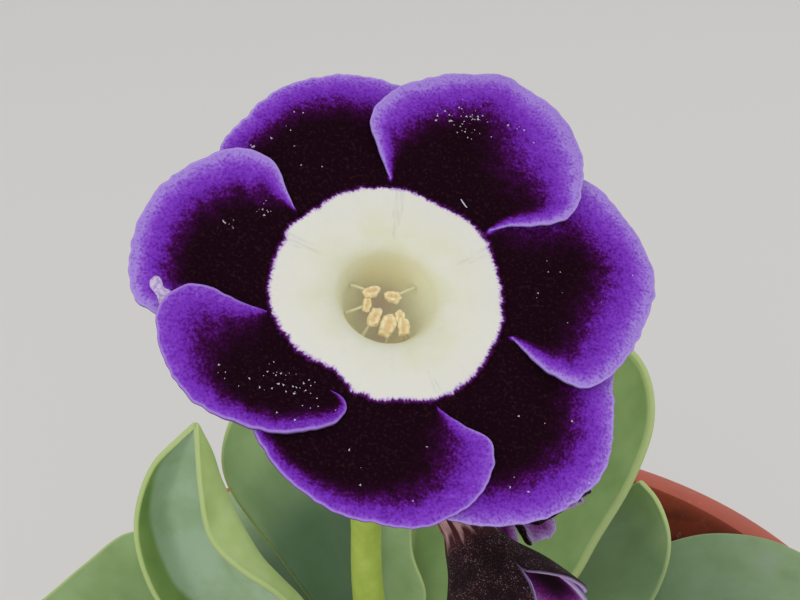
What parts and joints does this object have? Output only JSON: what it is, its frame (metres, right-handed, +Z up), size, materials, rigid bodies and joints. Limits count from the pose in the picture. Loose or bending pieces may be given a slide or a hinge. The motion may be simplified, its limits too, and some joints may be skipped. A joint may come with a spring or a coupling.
{
  "type": "potted auricula plant",
  "caption": "Auricula plant in a round tapered pot: a flat open bloom with a pale eye and dark purple petals, opening blooms beside it and a rosette of fleshy leaves.",
  "frame": {"origin": "centre of the pot's underside, on the surface that it stands on", "axes": "+Z up; -Y is the front, towards which the open bloom leans; +X is to the right seen from the front"},
  "size_m": [0.0891, 0.0815, 0.1341],
  "materials": {
    "pot_plastic": "smooth terracotta-coloured plastic, satin",
    "compost": "dark crumbly compost with fine grit",
    "rootstock": "corky and matt",
    "leaf": "fleshy green with a fine pale meal and a paler margin",
    "stalk": "smooth yellow-green, lightly mealed",
    "petal": "velvety, near-black towards the eye and violet to lilac at the margin",
    "eye": "matt cream-white meal",
    "young_petal": "velvety maroon-black back with pale specks and a lilac edge"
  },
  "bodies": {
    "root": {"pot": "pot_plastic", "soil": "compost", "crown": "rootstock", "leaf_1": "leaf", "leaf_2": "leaf", "leaf_3": "leaf", "leaf_4": "leaf", "leaf_5": "leaf", "leaf_6": "leaf", "leaf_7": "leaf", "leaf_8": "leaf", "leaf_9": "leaf", "leaf_10": "leaf", "leaf_11": "leaf", "flower_stalk": "stalk", "pip_petals": "petal", "pip_eye": "eye", "side_pip": "young_petal", "opening_bud": "young_petal"}
  },
  "joints": []
}
